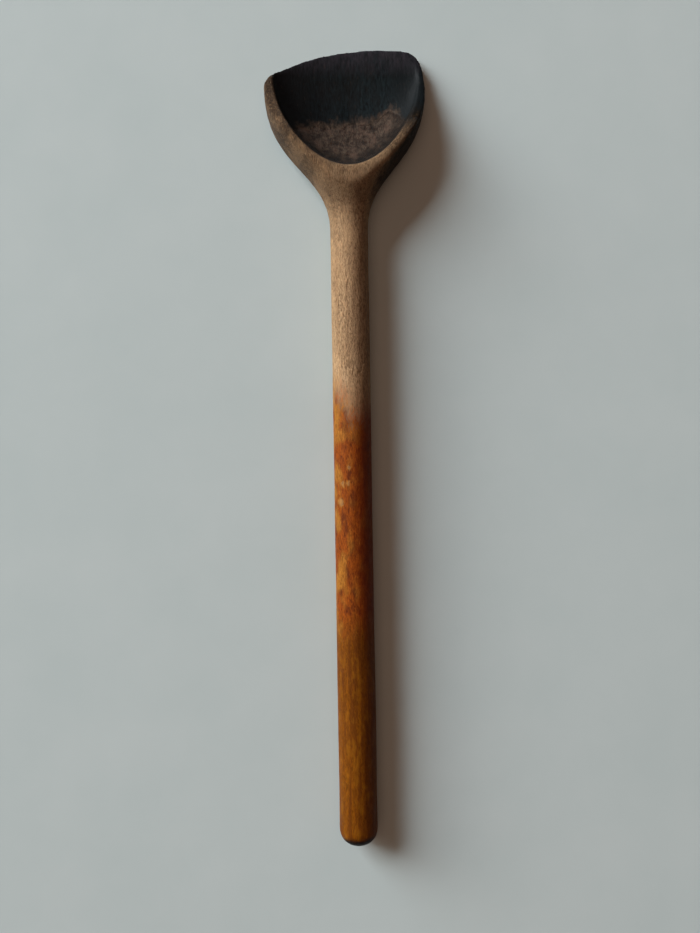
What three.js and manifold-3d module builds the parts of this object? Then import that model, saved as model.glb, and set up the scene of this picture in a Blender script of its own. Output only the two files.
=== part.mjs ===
// A wooden cooking spoon, carved from one billet and worn down by years of stirring.
//
// Three bodies make it up: the carved wood, the amber lacquer that is left on the lower
// handle, and the black lacquer that is left in the bowl. It lies on its back on a table.
//
// Units are millimetres. While it is built, y runs along the spoon from the butt of the
// handle (y = 0) to the nose of the bowl, x is to the right with the hollow upwards, and
// z is the height over the table. The finished group is moved so that its origin is the
// middle of the spoon's footprint.
import * as THREE from "three";
import { mergeVertices } from "three/addons/utils/BufferGeometryUtils.js";
import Module from "manifold-3d";

const wasm = await Module();
wasm.setup();

// Handle: a round dowel with a flat butt and a rounded edge.
const handleDiameter = 12.2;
const handleLength = 198.7; // butt to the start of the neck
const buttRounding = 4.9; // radius of the butt's rounded edge
const neckAxisHeight = 6.9; // height of the handle's axis where the neck starts

// Bowl: an oval, widest at one section, with the neck behind that section and the nose ahead.
const bowlWidth = 52.4;
const bowlOffset = -0.7; // the bowl's middle is a little to the left of the handle's
const neckLength = 46; // start of the neck to the widest section
const noseLength = 40; // widest section to the tip, before any wear
const rimHeight = 16.6; // table to the top of the rim, where it meets the neck
const rimStock = 4.6; // wood over the rim that is cut away level with it
const waistHeight = 4; // table to the level at which the bowl is widest
const neckEase = 19; // how far the handle's line runs on into the neck
const bowlEase = 24; // how far the bowl's side runs back before it turns in
const crestStart = 0.03; // share of the neck at which the top starts to climb
const crestEnd = 0.55; // share of the neck at which it has climbed to the stock
const rimPower = 3; // superellipse power over the waist, 2 is round
const bellyPower = 2.4; // and under it
const bellyWear = 0.2; // depth worn flat under the bowl, where it rests

// Hollow: an oval scoop, closed at the neck and open at the nose.
const hollowHalfWidth = 24;
const hollowBack = 28.1; // its closed end, behind the widest section
const hollowHalfLength = 35.5; // closed end to the place where it is widest
const hollowTaper = 1.1; // how much more pointed than an ellipse it is at the closed end
const hollowAhead = 17.5; // how far it runs past the widest section, beyond all wear
const floorRun = 31; // closed end to the place where its floor is level
const floorThickness = 3.2; // wood under the level floor
const hollowPower = 2.3; // superellipse power of its section
const leastDepth = 2.4; // depth at which its section is drawn where wear leaves less

// Wear: the rim falls away to the front, and the nose is gone back to a thin slanting edge.
// The worn rim is a row of heights over the table, at distances ahead of the widest section.
const rimWear = [
  [-36, rimHeight],
  [-28, rimHeight - 0.2],
  [-18, 14.8],
  [-12.8, 12.9],
  [-7.5, 10.4],
  [-3.6, 8.7],
  [0.4, 7.2],
  [5.4, 5.5],
  [9.2, 4.7],
  [12.8, 3.7],
  [18, 2.4],
];
const rimRoll = 3; // degrees by which the right side is worn lower than the left
const wornAhead = 14.2; // furthest point of the worn edge, ahead of the widest section
const wornSkew = 12; // that point lies this far to the right of the middle
const wornHalfWidth = 42.5; // the edge is part of an ellipse, with this half axis across
const wornHalfLength = 20.5; // and this one along the spoon
const leftCorner = 5.4; // how far the left corner is rubbed round
const rightCorner = 7; // how far the right corner is rubbed round

// Lacquer: two coats that are left, each with a clearance to the wood under it.
const coatThickness = 0.3;
const coatClearance = 0.3;
const lacquerLength = 137; // amber lacquer, from the butt

const handleRadius = handleDiameter / 2;
const bowlHalfWidth = bowlWidth / 2;
const widestY = handleLength + neckLength;
const coatDepth = coatThickness + coatClearance;

const aroundSegments = 44;
const neckRows = 16;
const noseRows = 9;
const hollowRows = 20;
const openRows = 3;
const roundingRows = 5;

const mix = THREE.MathUtils.lerp;
const smooth = (t) => THREE.MathUtils.smoothstep(t, 0, 1);

// Height of the handle's axis: the butt rests on the table and the neck is a little higher.
const axisHeight = (y) => mix(handleRadius, neckAxisHeight, y / handleLength);

// One cross-section of the handle, a circle that is drawn as a flat row of points.
function handleRow(y, radius) {
  const z = axisHeight(y);
  return {
    y,
    offset: 0,
    halfWidth: radius,
    middle: z,
    top: z + radius,
    bottom: z - radius,
    topPower: 2,
    bottomPower: 2,
  };
}

// The butt: its flat face, then its rounded edge, set in from the outside by `inset`.
function buttRows(inset) {
  const radius = handleRadius - inset;
  const rounding = buttRounding - inset;
  const rows = [handleRow(inset, 0)];
  for (let k = 0; k <= roundingRows; k++) {
    const angle = (k / roundingRows) * (Math.PI / 2);
    const y = inset + rounding * (1 - Math.cos(angle));
    rows.push(handleRow(y, radius - rounding * (1 - Math.sin(angle))));
  }
  return rows;
}

// The neck: every size eases from the handle's to the bowl's along one Bezier in y.
function neckSections() {
  const start = handleRow(handleLength, handleRadius);
  const along = new THREE.CubicBezierCurve(
    new THREE.Vector2(0, handleLength),
    new THREE.Vector2(0, handleLength + neckEase),
    new THREE.Vector2(0, widestY - bowlEase),
    new THREE.Vector2(0, widestY),
  );
  const rows = [];
  for (let k = 1; k <= neckRows; k++) {
    const t = k / neckRows;
    const s = smooth(t);
    const climb = THREE.MathUtils.smoothstep(t, crestStart, crestEnd);
    rows.push({
      y: along.getPoint(t).y,
      offset: bowlOffset * s,
      halfWidth: mix(start.halfWidth, bowlHalfWidth, s),
      middle: mix(start.middle, waistHeight, s),
      top: mix(start.top, rimHeight + rimStock, climb),
      bottom: mix(start.bottom, -bellyWear, s),
      topPower: mix(2, rimPower, s),
      bottomPower: mix(2, bellyPower, s),
    });
  }
  return rows;
}

// The nose as it was carved: half an ellipse in plan and in height.
function noseSections() {
  const rows = [];
  for (let k = 1; k <= noseRows; k++) {
    const angle = (k / noseRows) * (Math.PI / 2);
    const shrink = k === noseRows ? 0 : Math.cos(angle);
    rows.push({
      y: widestY + noseLength * Math.sin(angle),
      offset: bowlOffset,
      halfWidth: bowlHalfWidth * shrink,
      middle: waistHeight,
      top: mix(waistHeight, rimHeight + rimStock, shrink),
      bottom: mix(waistHeight, -bellyWear, shrink),
      topPower: rimPower,
      bottomPower: bellyPower,
    });
  }
  return rows;
}

// A superellipse's coordinate: sin or cos raised to 2 / power, with its sign kept.
const rounded = (c, power) => Math.sign(c) * Math.abs(c) ** (2 / power);

// Skins a list of cross-sections. A sphere gives the net: its rows become the sections and
// its two poles become the points that close the ends.
function skin(rows) {
  const net = new THREE.SphereGeometry(1, aroundSegments, rows.length - 1);
  const point = net.getAttribute("position");
  for (let i = 0; i < point.count; i++) {
    const row = rows[Math.floor(i / (aroundSegments + 1))];
    const turn = ((i % (aroundSegments + 1)) / aroundSegments) * 2 * Math.PI;
    const power = Math.sin(turn) > 0 ? row.topPower : row.bottomPower;
    const side = rounded(Math.cos(turn), power);
    const up = rounded(Math.sin(turn), power);
    const reach = up > 0 ? row.top - row.middle : row.middle - row.bottom;
    point.setXYZ(i, row.offset + row.halfWidth * side, row.y, row.middle + reach * up);
  }
  return solidOf(net);
}

// A three.js geometry as a solid that can be cut and joined.
function solidOf(geometry) {
  const bare = geometry.clone();
  bare.deleteAttribute("normal");
  bare.deleteAttribute("uv");
  const merged = mergeVertices(bare, 1e-4);
  const solid = new wasm.Manifold(
    new wasm.Mesh({
      numProp: 3,
      vertProperties: merged.getAttribute("position").array,
      triVerts: new Uint32Array(merged.index.array),
    }),
  );
  return solid.volume() < 0 ? insideOut(merged) : solid;
}

// The same solid with every face turned round.
function insideOut(merged) {
  const corners = merged.index.array;
  for (let i = 0; i < corners.length; i += 3) {
    [corners[i], corners[i + 1]] = [corners[i + 1], corners[i]];
  }
  return solidOf(merged);
}

// A solid as a named mesh.
function meshOf(name, solid, material) {
  const made = solid.getMesh();
  const geometry = new THREE.BufferGeometry();
  geometry.setAttribute("position", new THREE.BufferAttribute(made.vertProperties, 3));
  geometry.setIndex(new THREE.BufferAttribute(made.triVerts, 1));
  geometry.computeVertexNormals();
  const mesh = new THREE.Mesh(geometry, material);
  mesh.name = name;
  return mesh;
}

// The worn rim's height over the table, at a distance ahead of the widest section.
const rimCurve = new THREE.SplineCurve(rimWear.map((pair) => new THREE.Vector2(...pair)));
const rimPoints = rimCurve.getSpacedPoints(48);

function rimAt(ahead) {
  const next = Math.max(1, rimPoints.findIndex((point) => point.x >= ahead));
  const [from, to] = [rimPoints[next - 1], rimPoints[next]];
  return mix(from.y, to.y, (ahead - from.x) / (to.x - from.x));
}

// Everything that the hollow takes away, drawn in from the wood by `inset`. Its sections are
// widest at the worn rim, so that its edge in plan is an oval whatever the rim's height.
function hollow(inset) {
  const section = (ahead, halfWidth) => {
    const run = Math.min(1, (ahead + hollowBack) / floorRun);
    const floor = mix(rimHeight, floorThickness, Math.sqrt(1 - (1 - run) ** 2));
    const rim = Math.max(rimAt(ahead), floor + leastDepth);
    return {
      y: widestY + ahead,
      offset: bowlOffset,
      halfWidth,
      middle: rim,
      top: rim + (2 * rimHeight * halfWidth) / hollowHalfWidth,
      bottom: halfWidth > 0 ? floor + inset : rim,
      topPower: 2,
      bottomPower: hollowPower,
    };
  };
  const rows = [];
  for (let k = 0; k <= hollowRows; k++) {
    const angle = (k / hollowRows) * (Math.PI / 2);
    const ahead = inset - hollowBack + (hollowHalfLength - inset) * (1 - Math.cos(angle));
    rows.push(section(ahead, (hollowHalfWidth - inset) * Math.sin(angle) ** hollowTaper));
  }
  const widestAhead = hollowHalfLength - hollowBack;
  for (let k = 1; k <= openRows; k++) {
    rows.push(section(mix(widestAhead, hollowAhead, k / openRows), hollowHalfWidth - inset));
  }
  rows.push(section(hollowAhead, 0));
  return skin(rows).translate(-bowlOffset, 0, 0).rotate(0, rimRoll, 0).translate(bowlOffset, 0, 0);
}

// What wear has taken off the nose: all that lies ahead of the worn edge, seen from above.
function wornNose() {
  const outside = 10; // how far the cutter reaches past the spoon
  const left = -bowlHalfWidth;
  const right = bowlHalfWidth;
  const drop = (x) => 1 - Math.sqrt(1 - ((x - wornSkew) / wornHalfWidth) ** 2);
  const edgeAt = (x) => new THREE.Vector2(x, wornAhead - wornHalfLength * drop(x));
  const leftEnd = edgeAt(left + leftCorner);
  const rightEnd = edgeAt(right - rightCorner);
  const between = [0.2, 0.4, 0.6, 0.8, 1].map((t) => edgeAt(mix(leftEnd.x, rightEnd.x, t)));
  const leftSide = leftEnd.y - 1.5 * leftCorner;
  const rightSide = rightEnd.y - 2 * rightCorner;
  const shape = new THREE.Shape();
  shape.moveTo(left - outside, leftSide);
  shape.lineTo(left, leftSide);
  shape.quadraticCurveTo(left, leftEnd.y - 0.4 * leftCorner, leftEnd.x, leftEnd.y);
  shape.splineThru(between);
  shape.quadraticCurveTo(right, rightEnd.y, right, rightSide);
  shape.lineTo(right + outside, rightSide);
  shape.lineTo(right + outside, noseLength + outside);
  shape.lineTo(left - outside, noseLength + outside);
  shape.closePath();
  const cutter = new THREE.ExtrudeGeometry(shape, {
    depth: 4 * rimHeight,
    bevelEnabled: false,
    curveSegments: 10,
  });
  cutter.translate(bowlOffset, widestY, -2 * rimHeight);
  return solidOf(cutter);
}

// What wear has taken off the rim: all that lies over the worn surface, seen from the side.
function wornRim() {
  const over = 3 * rimHeight;
  const shape = new THREE.Shape([
    new THREE.Vector2(rimPoints[0].x, over),
    ...rimPoints,
    new THREE.Vector2(rimPoints[rimPoints.length - 1].x, over),
  ]);
  const cutter = new THREE.ExtrudeGeometry(shape, {
    depth: 2 * bowlWidth,
    bevelEnabled: false,
  });
  // The profile is drawn along x and y; stand it up so that it runs along y and z.
  cutter.translate(0, 0, -bowlWidth);
  cutter.rotateX(Math.PI / 2);
  cutter.rotateZ(Math.PI / 2);
  cutter.rotateY(THREE.MathUtils.degToRad(rimRoll));
  cutter.translate(0, widestY, 0);
  return solidOf(cutter);
}

// All that lies under the table, which flattens the belly.
function underTable() {
  const slab = new THREE.BoxGeometry(2 * bowlWidth, 4 * widestY, 2 * rimHeight);
  slab.translate(0, 0, -rimHeight);
  return solidOf(slab);
}

// The handle's core: full size in the neck, and slimmer where it takes the lacquer.
function handleCore() {
  return [
    ...buttRows(coatDepth),
    handleRow(lacquerLength + coatClearance, handleRadius - coatDepth),
    handleRow(lacquerLength + coatClearance, handleRadius),
    handleRow(handleLength, handleRadius),
  ];
}

function carvedWood(worn) {
  const billet = skin([...handleCore(), ...neckSections(), ...noseSections()]);
  return billet.subtract(hollow(0)).subtract(worn).subtract(underTable());
}

// The black coat follows the hollow as far as the rim and the worn edge.
function bowlCoat(worn) {
  const bowl = skin([...handleCore(), ...neckSections(), ...noseSections()]);
  const film = hollow(coatClearance).subtract(hollow(coatDepth));
  return film.intersect(bowl).subtract(worn);
}

// The amber coat is a sleeve with a closed butt.
function handleCoat() {
  const end = lacquerLength;
  const outside = skin([...buttRows(0), handleRow(end, handleRadius), handleRow(end, 0)]);
  const inside = skin([
    ...buttRows(coatThickness),
    handleRow(end + coatThickness, handleRadius - coatThickness),
    handleRow(end + coatThickness, 0),
  ]);
  return outside.subtract(inside);
}

const bareWood = new THREE.MeshStandardMaterial({ color: 0x9a7a58, roughness: 0.85, metalness: 0 });
const amberLacquer = new THREE.MeshStandardMaterial({ color: 0x8a4e1c, roughness: 0.4, metalness: 0 });
const blackLacquer = new THREE.MeshStandardMaterial({ color: 0x1d1f20, roughness: 0.5, metalness: 0 });

const worn = wornNose().add(wornRim());
const spoon = new THREE.Group();
spoon.add(
  meshOf("carved_wood_body", carvedWood(worn), bareWood),
  meshOf("handle_amber_lacquer", handleCoat(), amberLacquer),
  meshOf("bowl_black_lacquer", bowlCoat(worn), blackLacquer),
);

// The origin is the middle of the spoon's footprint, on the table.
const box = new THREE.Box3().setFromObject(spoon, true);
const middle = box.getCenter(new THREE.Vector3());
spoon.position.set(-middle.x, -middle.y, -box.min.z);

export default spoon;
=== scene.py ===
import math

import bpy
from mathutils import Matrix, Vector, noise


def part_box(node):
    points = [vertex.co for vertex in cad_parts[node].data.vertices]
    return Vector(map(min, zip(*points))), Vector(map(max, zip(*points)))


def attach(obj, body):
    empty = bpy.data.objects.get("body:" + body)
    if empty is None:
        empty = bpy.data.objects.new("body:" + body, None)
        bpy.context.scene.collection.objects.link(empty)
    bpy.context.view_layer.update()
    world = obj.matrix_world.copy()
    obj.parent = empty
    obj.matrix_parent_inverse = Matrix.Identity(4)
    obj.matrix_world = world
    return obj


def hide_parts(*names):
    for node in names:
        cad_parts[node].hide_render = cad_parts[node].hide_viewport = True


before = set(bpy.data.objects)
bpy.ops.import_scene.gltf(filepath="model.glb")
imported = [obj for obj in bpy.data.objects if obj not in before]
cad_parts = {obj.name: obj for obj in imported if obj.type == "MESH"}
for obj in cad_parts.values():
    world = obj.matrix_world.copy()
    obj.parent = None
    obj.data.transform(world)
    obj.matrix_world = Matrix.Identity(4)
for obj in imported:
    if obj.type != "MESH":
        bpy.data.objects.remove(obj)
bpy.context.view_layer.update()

# A carved wooden cooking spoon, bare and worn, with old amber lacquer left on the lower
# handle and black lacquer left in the hollow of the bowl. It lies on its back.
# +Y runs from the handle to the bowl, +X is to the right, +Z is up. Lengths are in metres.

MM = 0.001

_, wood_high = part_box("carved_wood_body")
sleeve_low, sleeve_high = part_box("handle_amber_lacquer")
hollow_low, hollow_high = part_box("bowl_black_lacquer")

# Handle, read off the frame.
HANDLE_RADIUS = (sleeve_high.x - sleeve_low.x) / 2
HANDLE_X = (sleeve_high.x + sleeve_low.x) / 2
BUTT_Y = sleeve_low.y
LACQUER_END_Y = sleeve_high.y
HANDLE_RISE = (sleeve_high.z - 2 * HANDLE_RADIUS) / (LACQUER_END_Y - BUTT_Y)  # its slope
BUTT_ROUNDING = 4.9 * MM
BUTT_STEPS = 8

# Bowl. Its ends and sides are read off the frame, and its own lines are set from them.
BOWL_X = (hollow_high.x + hollow_low.x) / 2
NOSE_Y = wood_high.y
BOWL_Y = NOSE_Y - 14.2 * MM  # where the bowl is widest
HOLLOW_BACK_Y = hollow_low.y
HOLLOW_WIDEST_Y = HOLLOW_BACK_Y + 35 * MM  # from here on its walls run straight
HOLLOW_TAPER = 1.1  # how much more pointed than an ellipse its closed end is
HOLLOW_HALF_WIDTH = (hollow_high.x - hollow_low.x) / 2
CREST_Y = BOWL_Y - 31 * MM  # where the neck climbs to the rim

TOUCHING = 0.001 * MM  # points this near are one point
CUT_PAST_LACQUER = 3 * MM  # the handle is drawn again from here to the butt
WOOD_CELL = 0.45 * MM  # size of the even mesh
EDGE_RUBS = 4  # rounds of smoothing, over all edges and over the crest
CREST_RUBS = 40
FILM_THICKNESS = 0.12 * MM
FILM_PROUD = 0.05 * MM  # how far a film stands out of the wood
LEAST_LEFT = 0.05  # where less than this share is left, there is no film
THINNEST_FILM = 0.2  # share of its thickness that is left at a film's edge

# How far the wear cuts into the wood or stands out of it, in mm.
WAVE = 0.10
RISEN_GRAIN = 0.05
KNIFE_FACET = 0.09
NIBBLE = 0.08
SCOURED = 0.8  # share of the risen grain that is rubbed away in the hollow

# Edge of the black in the hollow, in mm from the bowl's middle and from its widest line.
BLACK_BEHIND = 10  # how far behind the widest line it starts
BLACK_SLANT = 0.12  # and how much further forward for each mm to the right
FINGER_X = 15.0  # a worn finger by the right wall
FINGER_WIDTH = 2.6
FINGER_LENGTH = 3.2
RIGHT_WALL_RUN = 4  # how far the black runs back along each wall
LEFT_WALL_RUN = 5

# Edge of the amber, in mm along the spoon.
AMBER_END_Y = 13
AMBER_LEFT_REACH = 6  # how much further up it reaches on each side
AMBER_RIGHT_REACH = 1
# Chips in the amber: place across from the handle's axis, place along, and size, in mm.
AMBER_CHIPS = [(-1.2, -7.5, 0.9), (-1.5, -12.5, 0.9), (-3.4, -12.8, 1.1), (-4.0, -18.6, 1.5)]
CHIP_LENGTH = 1.4  # a chip's length over its width
GOLD_TO_RED_Y = -58 * MM  # where the plain gold-brown turns to red-brown
TURN_WANDER = 14 * MM  # how far that border wanders

BARE_NECK_Y = 40  # mm along the spoon: all the amber is behind this, all the black beyond


# ---------------------------------------------------------------- helpers


def deselect_all():
    """Leaves nothing selected."""
    for obj in bpy.context.selected_objects:
        obj.select_set(False)


def pick(obj):
    """Selects one object alone and makes it the active one."""
    deselect_all()
    obj.select_set(True)
    bpy.context.view_layer.objects.active = obj


def edit(obj, mode):
    """Opens an object's mesh for editing; mode is VERT or FACE."""
    pick(obj)
    bpy.ops.object.mode_set(mode="EDIT")
    bpy.ops.mesh.select_mode(type=mode)


def done():
    """Closes the mesh that is being edited."""
    bpy.ops.object.mode_set(mode="OBJECT")


def finish_modifiers(obj):
    """Makes an object's modifiers part of its mesh, in their order."""
    pick(obj)
    for modifier in list(obj.modifiers):
        bpy.ops.object.modifier_apply(modifier=modifier.name)


def step(low, high, value):
    """0 below low, 1 above high, smooth between them."""
    t = clamp((value - low) / (high - low))
    return t * t * (3 - 2 * t)


def clamp(value):
    """A value held between 0 and 1."""
    return min(1.0, max(0.0, value))


def grain(point, across, along, seed=0.0):
    """Noise from -1 to 1, drawn out along the spoon; across and along are its size in mm."""
    x, y, z = point / MM
    return noise.noise(Vector((x / across + seed, y / along - seed, z / across)))


# ---------------------------------------------------------------- the carved wood


def carve_spoon():
    """The bowl and neck come from the frame, and the handle is drawn out to full size."""
    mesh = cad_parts["carved_wood_body"].data.copy()
    spoon = bpy.data.objects.new("carved_wood_spoon", mesh)
    bpy.context.scene.collection.objects.link(spoon)
    edit(spoon, "VERT")
    bpy.ops.mesh.select_all(action="SELECT")
    bpy.ops.mesh.remove_doubles(threshold=TOUCHING)

    # The frame's handle is slimmer under the lacquer, so it is cut off and drawn again.
    cut_y = LACQUER_END_Y + CUT_PAST_LACQUER
    bpy.ops.mesh.bisect(plane_co=(0, cut_y, 0), plane_no=(0, 1, 0), clear_inner=True)
    done()
    for vertex in spoon.data.vertices:
        vertex.select = abs(vertex.co.y - cut_y) < TOUCHING
    edit(spoon, "VERT")
    draw_out(cut_y - (BUTT_Y + BUTT_ROUNDING))
    draw_butt()
    bpy.ops.mesh.edge_face_add()
    bpy.ops.mesh.select_all(action="SELECT")
    bpy.ops.mesh.normals_make_consistent(inside=False)
    done()

    even = spoon.modifiers.new("even mesh", "REMESH")
    even.mode = "VOXEL"
    even.voxel_size = WOOD_CELL
    soften = spoon.modifiers.new("edges worn soft", "SMOOTH")
    soften.factor = 0.5
    soften.iterations = EDGE_RUBS
    finish_modifiers(spoon)
    rub_crest(spoon)
    return spoon


def draw_out(length):
    """Extrudes the selected ring towards the butt, along the handle's axis."""
    move = Vector((0, -length, -HANDLE_RISE * length))
    bpy.ops.mesh.extrude_region_move(TRANSFORM_OT_translate={"value": move})


def draw_butt():
    """Draws the ring in over the butt's rounded edge, down to its small flat face."""
    y, radius = BUTT_Y + BUTT_ROUNDING, HANDLE_RADIUS
    for k in range(1, BUTT_STEPS + 1):
        angle = k / BUTT_STEPS * math.pi / 2
        next_y = BUTT_Y + BUTT_ROUNDING * (1 - math.sin(angle))
        next_radius = HANDLE_RADIUS - BUTT_ROUNDING * (1 - math.cos(angle))
        draw_out(y - next_y)
        shrink = next_radius / radius
        centre = (HANDLE_X, next_y, HANDLE_RADIUS)
        bpy.ops.transform.resize(value=(shrink, 1, shrink), center_override=centre)
        y, radius = next_y, next_radius


def rub_crest(spoon):
    """The crest between the neck and the rim is rubbed rounder than the other edges, wholly
    within 3 mm of its line and fading out by 11 mm."""
    crest = spoon.vertex_groups.new(name="crest")
    for vertex in spoon.data.vertices:
        away, height = abs(vertex.co.y - CREST_Y) / MM, vertex.co.z / MM
        near = 1 - step(3, 11, away)
        crest.add([vertex.index], near * step(10, 13, height), "REPLACE")
    rub = spoon.modifiers.new("rubbed crest", "SMOOTH")
    rub.factor = 0.5
    rub.iterations = CREST_RUBS
    rub.vertex_group = "crest"
    finish_modifiers(spoon)


def in_hollow(point):
    """How far a point of the plan is inside the hollow: 0 on its edge, 1 in the middle."""
    behind = min(0.0, (point.y - HOLLOW_WIDEST_Y) / (HOLLOW_WIDEST_Y - HOLLOW_BACK_Y))
    aside = abs(point.x - BOWL_X) / HOLLOW_HALF_WIDTH
    return 1 - math.sqrt(behind * behind + aside ** (2 / HOLLOW_TAPER))


def wear_spoon(spoon):
    """Hand wear: a wavy surface, raised grain, knife facets in the hollow, a nibbled nose."""
    mesh = spoon.data
    moves = []
    for vertex in mesh.vertices:
        point = vertex.co
        wave = WAVE * grain(point, across=16, along=30)
        inside = step(0.0, 0.15, in_hollow(point)) * step(0.2, 0.5, vertex.normal.z)
        ridge = RISEN_GRAIN * grain(point, across=1.2, along=12, seed=3.0) * (1 - SCOURED * inside)
        facet = KNIFE_FACET * inside * grain(point, across=5, along=26, seed=7.0)
        nose = step(NOSE_Y - 4 * MM, NOSE_Y, point.y)
        nibble = NIBBLE * nose * grain(point, across=2.5, along=2.5, seed=11.0)
        moves.append(vertex.normal * (wave + ridge + facet + nibble) * MM)
    # The underside stays just clear of the floor, to leave room for a film.
    for vertex, move in zip(mesh.vertices, moves):
        vertex.co += move
        vertex.co.z = max(vertex.co.z, FILM_PROUD)


# ---------------------------------------------------------------- what is left of the lacquers


def black_share(point, normal):
    """How much black is left, 0 to 1: it covers the front of the hollow and the worn nose."""
    x = (point.x - BOWL_X) / MM
    edge_y = (BOWL_Y / MM) - BLACK_BEHIND + BLACK_SLANT * x
    edge_y += FINGER_LENGTH * math.exp(-(((x - FINGER_X) / FINGER_WIDTH) ** 2))
    edge_y -= RIGHT_WALL_RUN * step(17.5, 19.5, x)
    edge_y -= LEFT_WALL_RUN * (1 - step(-20, -15, x))
    ragged = 1.3 * grain(point, across=2.6, along=2.2, seed=21.0)
    frayed_out = 0.9 * grain(point, across=0.9, along=1.6, seed=23.0)
    edge_y += ragged + frayed_out
    edge_y += 1.2 * grain(point, across=5, along=4, seed=27.0)
    back = step(-3.0, 3.5, point.y / MM - edge_y)
    inside = in_hollow(point) + 0.012 * grain(point, across=1.5, along=2.5, seed=25.0)
    right = step(BOWL_Y - 15 * MM, BOWL_Y - 1 * MM, point.y) if x > 0 else 0
    wall = max(step(-0.01, 0.03, inside), right * step(-0.5, -0.1, inside))
    return back * wall * step(0.0, 0.15, normal.z)


def amber_share(point, normal):
    """How much amber is left, 0 to 1: it reaches further up on the left side. The normal is
    taken only because lift_film asks for either share in the same way."""
    x, y = (point.x - HANDLE_X) / MM, point.y / MM
    edge_y = AMBER_END_Y + AMBER_LEFT_REACH * (1 - step(-5, 0, x))
    edge_y += AMBER_RIGHT_REACH * step(3, 6, x)
    ragged = 2.5 * grain(point, across=1.3, along=6, seed=5.0)
    frayed_out = 1.5 * grain(point, across=0.8, along=2.0, seed=9.0)
    edge_y += ragged + frayed_out
    return 1 - step(-19, 15, y - edge_y)


def chipped(point, normal):
    """0 in a chip of the amber and 1 away from it; the chips are on the upper side."""
    if normal.z <= 0:
        return 1.0
    x, y = (point.x - HANDLE_X) / MM, point.y / MM
    ragged = 0.5 * grain(point, across=0.7, along=0.9, seed=31.0)
    whole = 1.0
    for chip_x, chip_y, size in AMBER_CHIPS:
        away = math.hypot(x - chip_x, (y - chip_y) / CHIP_LENGTH) + ragged
        whole *= step(0.3 * size, size, away)
    return whole


def lift_film(wood, name, share_left):
    """Takes the wood's own surface where the lacquer is left, as a thin film of its own."""
    for vertex in wood.data.vertices:
        vertex.select = False
    for edge in wood.data.edges:
        edge.select = False
    for face in wood.data.polygons:
        face.select = share_left(face.center, face.normal) > LEAST_LEFT
    edit(wood, "FACE")
    bpy.ops.mesh.duplicate()
    bpy.ops.mesh.separate(type="SELECTED")
    done()
    film = [obj for obj in bpy.context.selected_objects if obj is not wood][0]
    film.name = film.data.name = name
    film.vertex_groups.clear()

    # The ragged edge is worn smooth, and the film thins out towards it.
    edit(film, "FACE")
    bpy.ops.mesh.select_all(action="SELECT")
    bpy.ops.mesh.region_to_loop()
    bpy.ops.mesh.vertices_smooth(factor=0.5, repeat=4)
    done()
    depth = film.vertex_groups.new(name="depth")
    for vertex in film.data.vertices:
        depth.add([vertex.index], share_left(vertex.co, vertex.normal), "REPLACE")
    # The offset puts the film's outer face FILM_PROUD above the wood, and the rest in it.
    body = film.modifiers.new("film", "SOLIDIFY")
    body.thickness = FILM_THICKNESS
    body.offset = 2 * FILM_PROUD / FILM_THICKNESS - 1
    body.vertex_group = "depth"
    body.thickness_vertex_group = THINNEST_FILM
    finish_modifiers(film)
    return film


# ---------------------------------------------------------------- soot, dirt, food stain and painted shade, as painted layers


def soot_and_shade_share(point, normal, scooped, blot, spot):
    """Soot lies in the corner under the rim and on the nose. The right side of the bowl and neck
    is painted shade, the right outer wall of the bowl's front is soot with painted shade, and the
    butt's rounded end is end grain with painted shade, all where they face away from the light.
    """
    x, behind = (point.x - BOWL_X) / MM, (BOWL_Y - point.y) / MM
    inside = in_hollow(point)
    corner = scooped * (1 - step(0.04, 0.2, inside + 0.04 * blot)) * (0.8 + 0.5 * spot)
    edge = 1.2 * step(-0.012, 0.0, inside) * step(0.3, 0.6, normal.z)
    edge *= 1 - step(0.02, 0.05, inside + 0.02 * spot)
    nose = (1 - step(-2, 8, behind + 2 * blot)) * (1 - scooped)
    charred_nose = nose * (0.35 + 0.65 * step(-6, 14, x))
    # Painted shade: the right side of the bowl and neck faces away from the light.
    right_side_shade = step(0.35, 0.85, normal.x) * (1 - step(0.3, 0.8, normal.z))
    right_side_shade *= 1 - step(28, 46, behind)
    singed = step(0.3, 0.8, -normal.x) * step(-0.1, 0.4, blot) * step(14, 24, behind)
    singed *= 1 - step(34, 44, behind)
    # Soot with painted shade: the right outer wall of the bowl's front faces away from the light.
    right_front_wall_soot_and_shade = step(12, 18, x) * (1 - step(9, 22, behind)) * (1 - scooped)
    # The butt's rounded end: end grain that soaks up stain, with painted shade where it turns away
    # from the light, more on its right.
    butt = step(0.2, 0.6, -normal.y + 0.12 * normal.x + 0.1 * blot)
    butt *= 1 - step(5, 7, (point.y - BUTT_Y) / MM)
    return max(corner, edge, charred_nose, 0.85 * right_side_shade, 0.4 * singed, 0.9 * right_front_wall_soot_and_shade, butt)


def grime_and_shade_share(point, normal, blot, spot):
    """Kitchen dirt is darkest on the rim and fades along the neck; where the neck climbs to the
    rim it is deeper, partly as painted shade on that slope, which faces away from the light.
    Surfaces facing right, away from the light, are painted a little darker all along the spoon:
    painted shade."""
    behind = (BOWL_Y - point.y) / MM
    rim = 1 - step(14, 32, behind)
    # Partly painted shade: the neck's climb to the rim faces away from the light, and is darkened
    # here on top of its dirt.
    neck_climb_dirt_and_shade = math.exp(-(((behind - 35) / 6) ** 2))
    grime_and_shade = 0.38 + 0.62 * rim + 0.12 * neck_climb_dirt_and_shade
    grime_and_shade *= 1 - step(36, 56, behind)
    grime_and_shade *= 1 + 0.35 * blot + 0.3 * spot
    # Painted shade: surfaces that face right, away from the light, are painted darker.
    return max(grime_and_shade, 0.5 * step(0.15, 0.95, normal.x))


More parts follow.
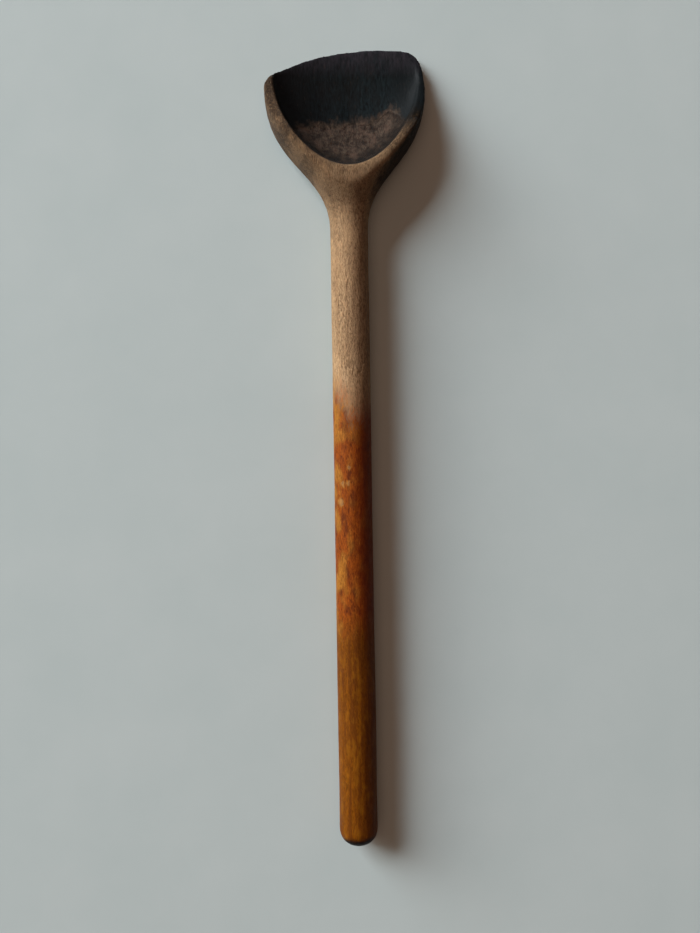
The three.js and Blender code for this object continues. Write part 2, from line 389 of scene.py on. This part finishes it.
def paint_stains_and_shade(obj):
    """In this layer red is soot, with painted shade on the sides that face away from the light;
    green is kitchen dirt, with painted shade on surfaces facing right and on the neck's climb to
    the rim; blue is food stain.
    """
    layer = obj.data.color_attributes.new("stains_and_shade", "FLOAT_COLOR", "POINT")
    for vertex, cell in zip(obj.data.vertices, layer.data):
        point, normal = vertex.co, vertex.normal
        blot = noise.noise(point / (5 * MM))
        spot = noise.noise(point / (1.7 * MM))
        scooped = step(0.0, 0.04, in_hollow(point)) * step(0.0, 0.2, normal.z)
        soot = soot_and_shade_share(point, normal, scooped, blot, spot)
        grime_and_shade = grime_and_shade_share(point, normal, blot, spot)
        cell.color = (clamp(soot), clamp(grime_and_shade), clamp(scooped), 1.0)


def paint_lacquers(obj):
    """In the layer "lacquers" red is amber left, green is black left, blue is ochre tint."""
    layer = obj.data.color_attributes.new("lacquers", "FLOAT_COLOR", "POINT")
    for vertex, cell in zip(obj.data.vertices, layer.data):
        point, normal = vertex.co, vertex.normal
        x, y = (point.x - HANDLE_X) / MM, point.y / MM
        whole = chipped(point, normal)
        # Past 0 and 1, so that only the border frays and not the bare wood or the full coat.
        amber = (1.6 * amber_share(point, normal) - 0.3) if y < BARE_NECK_Y else 0
        amber *= 0.5 + 0.5 * whole
        black = black_share(point, normal) if y > BARE_NECK_Y else 0
        left = 1 - step(-5.5, -0.5, x)
        patch = grain(point, across=4, along=7, seed=41.0)
        patch += 0.6 * grain(point, across=1.8, along=3.5, seed=43.0)
        ochre = step(-0.15, 0.6, patch + 0.4 * left - 0.05) * (0.45 + 0.45 * left)
        cell.color = (amber, black, max(clamp(ochre), 1 - whole), 1.0)


# ---------------------------------------------------------------- materials


def hex_colour(code):
    """An sRGB hex colour as linear RGBA."""
    parts = [int(code[i : i + 2], 16) / 255 for i in (0, 2, 4)]
    linear = [c / 12.92 if c <= 0.04045 else ((c + 0.055) / 1.055) ** 2.4 for c in parts]
    return (*linear, 1.0)


def new_material(name):
    """A material with an empty node tree."""
    material = bpy.data.materials.new(name)
    material.use_nodes = True
    material.node_tree.nodes.clear()
    return material


def add(material, kind, inputs=None, **settings):
    """Adds a node with its settings, and links or sets its inputs; a text is a hex colour."""
    tree = material.node_tree
    node = tree.nodes.new(kind)
    for key, value in settings.items():
        setattr(node, key, value)
    for key, value in (inputs or {}).items():
        if isinstance(value, bpy.types.NodeSocket):
            tree.links.new(value, node.inputs[key])
        else:
            constant = hex_colour(value) if isinstance(value, str) else value
            node.inputs[key].default_value = constant
    return node


def streaks(m, across, along, shift=0.0, detail=3.0, waver=0.0):
    """Noise drawn out along the grain; across and along are the size of one streak in mm. The
    shift moves a pattern, so that no two of them match."""
    place = add(m, "ShaderNodeTexCoord").outputs["Object"]
    scale = (1 / (across * MM), 1 / (along * MM), 1 / (across * MM))
    fitted = {"Vector": place, "Scale": scale, "Location": (shift,) * 3}
    drawn = add(m, "ShaderNodeMapping", fitted).outputs[0]
    look = {"Vector": drawn, "Scale": 1.0, "Detail": detail, "Roughness": 0.6, "Distortion": waver}
    return add(m, "ShaderNodeTexNoise", look).outputs["Fac"]


def lay(m, under, over, share, low=0.0, high=1.0, most=1.0):
    """Lays a colour over another: none of it where the share is low, most where it is high.
    In a mix of colours socket 0 is the share, 6 and 7 the colours, and output 2 the result."""
    limits = {"Value": share, "From Min": low, "From Max": high, "To Max": most}
    cover = add(m, "ShaderNodeMapRange", limits).outputs[0]
    return add(m, "ShaderNodeMix", {0: cover, 6: under, 7: over}, data_type="RGBA").outputs[2]


def painted(m, layer):
    """The three channels of a painted layer."""
    colour = add(m, "ShaderNodeVertexColor", layer_name=layer).outputs["Color"]
    return add(m, "ShaderNodeSeparateColor", {"Color": colour}).outputs[:3]


def frayed(m, share, fibre, depth):
    """A painted share whose edge frays along the wood's fibres, for a border near 0.5."""
    loose = add(m, "ShaderNodeMath", {0: fibre, 1: 0.5}, operation="SUBTRACT").outputs[0]
    inputs = {0: loose, 1: depth, 2: share}
    return add(m, "ShaderNodeMath", inputs, operation="MULTIPLY_ADD").outputs[0]


def wood_colour(m, fibre):
    """Washed lime wood: fine fibres, long bands, pale clouds, dark pores, its soot, dirt and food
    stain, and painted shade.
    """
    band = streaks(m, across=2.2, along=45, shift=5.0, detail=2.0)
    pore = streaks(m, across=0.34, along=1.7, shift=11.0, detail=2.0)
    fleck = streaks(m, across=0.3, along=1.3, shift=53.0, detail=2.0, waver=0.6)
    cloud = streaks(m, across=5, along=14, shift=17.0)
    mottle = streaks(m, across=1.1, along=1.7, shift=19.0, detail=4.0)
    patch = streaks(m, across=4.2, along=5.5, shift=47.0)
    soot, grime_and_shade, food = painted(m, "stains_and_shade")

    colour = lay(m, "6b5137", "c9aa82", fibre, 0.34, 0.66)
    colour = lay(m, colour, "7c5a3c", band, 0.35, 0.65, most=0.4)
    colour = lay(m, colour, "c5a278", cloud, 0.45, 0.7, most=0.35)
    colour = lay(m, colour, "503520", pore, 0.57, 0.68, most=0.55)
    # Kitchen dirt on the rim and neck, and painted shade on surfaces facing right and on the
    # neck's climb to the rim.
    dirt_and_shade_colour = lay(m, "251a10", "5a4733", fibre, 0.32, 0.68)
    colour = lay(m, colour, dirt_and_shade_colour, grime_and_shade)
    colour = lay(m, colour, "c9a87c", fleck, 0.58, 0.7, most=0.35)
    brown = lay(m, "231b15", "504439", mottle, 0.35, 0.65)
    brown = lay(m, brown, "614c40", patch, 0.5, 0.66, most=0.5)
    brown = lay(m, "1c1612", brown, patch, 0.3, 0.46)
    brown = lay(m, brown, "1c1512", pore, 0.55, 0.65, most=0.5)
    colour = lay(m, colour, brown, food)
    # Soot, and painted shade on the right side of the bowl and neck, the right outer wall of its
    # front and the butt's end.
    return lay(m, colour, "120d08", frayed(m, soot, mottle, 0.8), 0.15, 0.85)


def amber_over(m, fibre, under):
    """The amber over the wood's colour: red-brown with ochre patches, then plain gold-brown
    towards the butt.
    Its right half, which faces away from the light, is painted redder and darker: painted shade."""
    amber, _, ochre_tint = painted(m, "lacquers")
    soot, grime_and_shade, _ = painted(m, "stains_and_shade")
    place = add(m, "ShaderNodeTexCoord").outputs["Object"]
    x, y, _ = add(m, "ShaderNodeSeparateXYZ", {"Vector": place}).outputs
    blot = streaks(m, across=2.2, along=5, shift=23.0)
    band = streaks(m, across=1.3, along=22, shift=37.0, detail=2.0)

    red = lay(m, "522305", "9e4e0d", fibre, 0.3, 0.7)
    red = lay(m, red, "471a07", blot, 0.5, 0.66, most=0.7)
    ochre = lay(m, "70400b", "b2782c", fibre, 0.3, 0.7)
    red = lay(m, red, ochre, ochre_tint)
    # Painted shade: the handle's right half, away from the light, is painted redder and darker.
    red = lay(m, red, "6a2208", x, HANDLE_X, HANDLE_X + 3 * MM, most=0.5)
    gold = lay(m, "542e03", "874c06", fibre, 0.3, 0.7)
    gold = lay(m, gold, "522806", band, 0.42, 0.62, most=0.6)
    gold = lay(m, gold, "96600f", blot, 0.52, 0.68, most=0.35)
    wander = {0: blot, 1: TURN_WANDER, 2: y}
    turn = add(m, "ShaderNodeMath", wander, operation="MULTIPLY_ADD").outputs[0]
    coat = lay(m, gold, red, turn, GOLD_TO_RED_Y, GOLD_TO_RED_Y + 12 * MM)
    # Painted shade: on the lacquer this layer is only the darkening of surfaces facing right, away
    # from the light.
    coat = lay(m, coat, "3c1a07", grime_and_shade)
    # End grain with painted shade at the butt's rounded end.
    coat = lay(m, coat, "190c04", soot)
    return lay(m, under, coat, frayed(m, amber, fibre, 1.7), 0.02, 0.92)


def black_over(m, fibre, under):
    """The black over the wood's colour. Painted shade makes it deepest on the left, where the wall
    faces away from the light, and plain and darker by the right wall, which faces the light. It is
    greyed on the worn lip, and brown in flecks where it is rubbed thin."""
    black = painted(m, "lacquers")[1]
    place = add(m, "ShaderNodeTexCoord").outputs["Object"]
    x, y, _ = add(m, "ShaderNodeSeparateXYZ", {"Vector": place}).outputs
    cloud = streaks(m, across=4, along=8, shift=13.0)
    worn = streaks(m, across=0.8, along=2.6, shift=29.0)
    coat = lay(m, "0a0f11", "1b2629", fibre, 0.35, 0.7)
    coat = lay(m, coat, "13110f", cloud, 0.45, 0.7, most=0.5)
    # Painted shade: darkest on the left, where the hollow's wall faces away from the light.
    coat = lay(m, "070505", coat, x, -24 * MM, 8 * MM)
    # Painted shade: by the right wall, which faces the light, the black is painted plain and
    # darker.
    coat = lay(m, coat, "0d1214", x, BOWL_X + 12 * MM, BOWL_X + 18 * MM, most=0.9)
    lip = lay(m, coat, "302d33", worn, 0.25, 0.65)
    coat = lay(m, coat, lip, y, NOSE_Y - 9 * MM, NOSE_Y - 2 * MM)
    coat = lay(m, coat, "33291f", worn, 0.64, 0.74, most=0.4)
    return lay(m, under, coat, frayed(m, black, worn, 1.2), 0.1, 0.8)


def surface(m, colour, height, depth, rough_where, rough, **finish):
    """Ends a material: its bump, drawn to a real depth in mm, its roughness and its shader.
    What is left over names the shader's other inputs, with _ for a space."""
    bump = add(m, "ShaderNodeBump", {"Height": height, "Strength": 1.0, "Distance": depth * MM})
    limits = {"Value": rough_where, "From Min": 0.3, "From Max": 0.7}
    limits.update({"To Min": rough[0], "To Max": rough[1]})
    roughness = add(m, "ShaderNodeMapRange", limits).outputs[0]
    inputs = {"Base Color": colour, "Normal": bump.outputs[0], "Roughness": roughness, "IOR": 1.5}
    inputs.update({key.replace("_", " "): value for key, value in finish.items()})
    shader = add(m, "ShaderNodeBsdfPrincipled", inputs)
    add(m, "ShaderNodeOutputMaterial", {"Surface": shader.outputs[0]})
    return m


def bare_wood():
    """Lime wood, turned and carved, then washed for years. The grain has risen, so it is matt
    and a little furry, pale where light rakes it. Its fibres are drawn twice as coarse as
    they are, 0.36 mm, to show."""
    m = new_material("lime wood, washed bare")
    fibre = streaks(m, across=0.36, along=1.6, waver=1.2)
    colour = black_over(m, fibre, amber_over(m, fibre, wood_colour(m, fibre)))
    furry = {"Specular_IOR_Level": 0.12, "Sheen_Weight": 0.04, "Sheen_Roughness": 0.4}
    return surface(m, colour, fibre, 0.45, fibre, (0.65, 0.85), **furry)


def amber_lacquer():
    """Oil lacquer tinted amber, brushed on lime wood and handled until it is satin. The coat
    is thin, so the wood's fibres show through it and stand up in it."""
    m = new_material("amber oil lacquer, handled satin")
    fibre = streaks(m, across=0.36, along=1.6, waver=1.2)
    blot = streaks(m, across=2.4, along=7, shift=23.0)
    colour = amber_over(m, fibre, wood_colour(m, fibre))
    return surface(m, colour, fibre, 0.2, blot, (0.45, 0.6), Specular_IOR_Level=0.1)


def black_lacquer():
    """Black lacquer under baked-on soot, rubbed satin by food and the pan. It has fine
    scratches along the grain, and brown wood shows at its worn back edge."""
    m = new_material("black lacquer, scraped satin")
    fibre = streaks(m, across=0.6, along=2.4, shift=3.0, detail=4.0, waver=0.5)
    cloud = streaks(m, across=4, along=8, shift=13.0)
    colour = black_over(m, fibre, wood_colour(m, fibre))
    height = add(m, "ShaderNodeMath", {0: fibre, 1: cloud}, operation="ADD").outputs[0]
    return surface(m, colour, height, 0.08, cloud, (0.45, 0.6), Specular_IOR_Level=0.08)


def pale_floor():
    """A plain pale table covering, matt, very slightly uneven in shade."""
    m = new_material("pale table covering, matt")
    shade = streaks(m, across=30, along=30, shift=51.0)
    colour = lay(m, "b9c8c8", "bdcbcb", shade, 0.3, 0.7)
    return surface(m, colour, shade, 0.05, shade, (0.93, 0.97), Specular_IOR_Level=0.1)


# ---------------------------------------------------------------- making it

spoon = carve_spoon()
wear_spoon(spoon)
black = lift_film(spoon, "bowl_black_lacquer_film", black_share)
amber = lift_film(spoon, "handle_amber_lacquer_film", amber_share)

for piece, node, slot, material in (
    (spoon, "carved_wood_body", "bare_wood", bare_wood()),
    (amber, "handle_amber_lacquer", "amber_lacquer", amber_lacquer()),
    (black, "bowl_black_lacquer", "black_lacquer", black_lacquer()),
):
    paint_stains_and_shade(piece)
    paint_lacquers(piece)
    piece.data.materials.clear()
    piece.data.materials.append(material)
    pick(piece)
    bpy.ops.object.shade_smooth()
    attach(piece, "root")
    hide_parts(node)

FLOOR_SIZE = 12.0  # wide enough to fill the view from any side
deselect_all()
bpy.ops.mesh.primitive_plane_add(size=FLOOR_SIZE, location=(0, 0, 0))
floor = bpy.context.object
floor.name = "pale_floor"
floor.data.materials.append(pale_floor())


# ---------------------------------------------------------------- light and camera

LIGHT_DISTANCE = 4.0
ROOM_GLOW = 0.06  # warm light off the walls, from all sides


def area_light(name, azimuth, elevation, size, power, colour):
    """A soft light that faces the spoon. Azimuth 0 is from the left, 90 from beyond the bowl."""
    turn, lift = math.radians(azimuth), math.radians(elevation)
    flat = math.cos(lift)
    away = Vector((-math.cos(turn) * flat, math.sin(turn) * flat, math.sin(lift)))
    data = bpy.data.lights.new(name, "AREA")
    data.shape = "RECTANGLE"
    data.size, data.size_y = size
    data.energy = power
    data.color = hex_colour(colour)[:3]
    light = bpy.data.objects.new(name, data)
    bpy.context.scene.collection.objects.link(light)
    light.location = away * LIGHT_DISTANCE
    light.rotation_euler = away.to_track_quat("Z", "Y").to_euler()


area_light("window", 38, 25, size=(2.4, 2.4), power=258, colour="f8fbff")
area_light("window_sill", 22, 13, size=(2.4, 1.1), power=54, colour="fff6ec")
area_light("ceiling", 0, 89, size=(3.7, 3.7), power=26, colour="ffccb0")

world = bpy.data.worlds.new("room")
bpy.context.scene.world = world
world.use_nodes = True
room = world.node_tree.nodes["Background"]
room.inputs["Color"].default_value = hex_colour("ffc4a8")
room.inputs["Strength"].default_value = ROOM_GLOW

# The camera looks straight down; the spoon leans a little in the frame.
LEAN = math.radians(0.94)
AIM = Vector((-0.15 * MM, -7.3 * MM, 0))  # the point of the spoon in the frame's middle
CAMERA_HEIGHT = 268.5 * MM
FOCAL_SHARE = 0.866  # focal length as a share of the sensor's height
SENSOR = 36.0
aim = Matrix.Rotation(-LEAN, 3, "Z") @ AIM
camera_data = bpy.data.cameras.new("camera")
camera_data.sensor_fit = "VERTICAL"
camera_data.sensor_height = SENSOR
camera_data.lens = SENSOR * FOCAL_SHARE
camera_data.clip_start = 1 * MM
camera = bpy.data.objects.new("camera", camera_data)
bpy.context.scene.collection.objects.link(camera)
camera.location = (aim.x, aim.y, CAMERA_HEIGHT)
camera.rotation_euler = (0, 0, -LEAN)
bpy.context.scene.camera = camera
bpy.context.scene.view_settings.view_transform = "Standard"
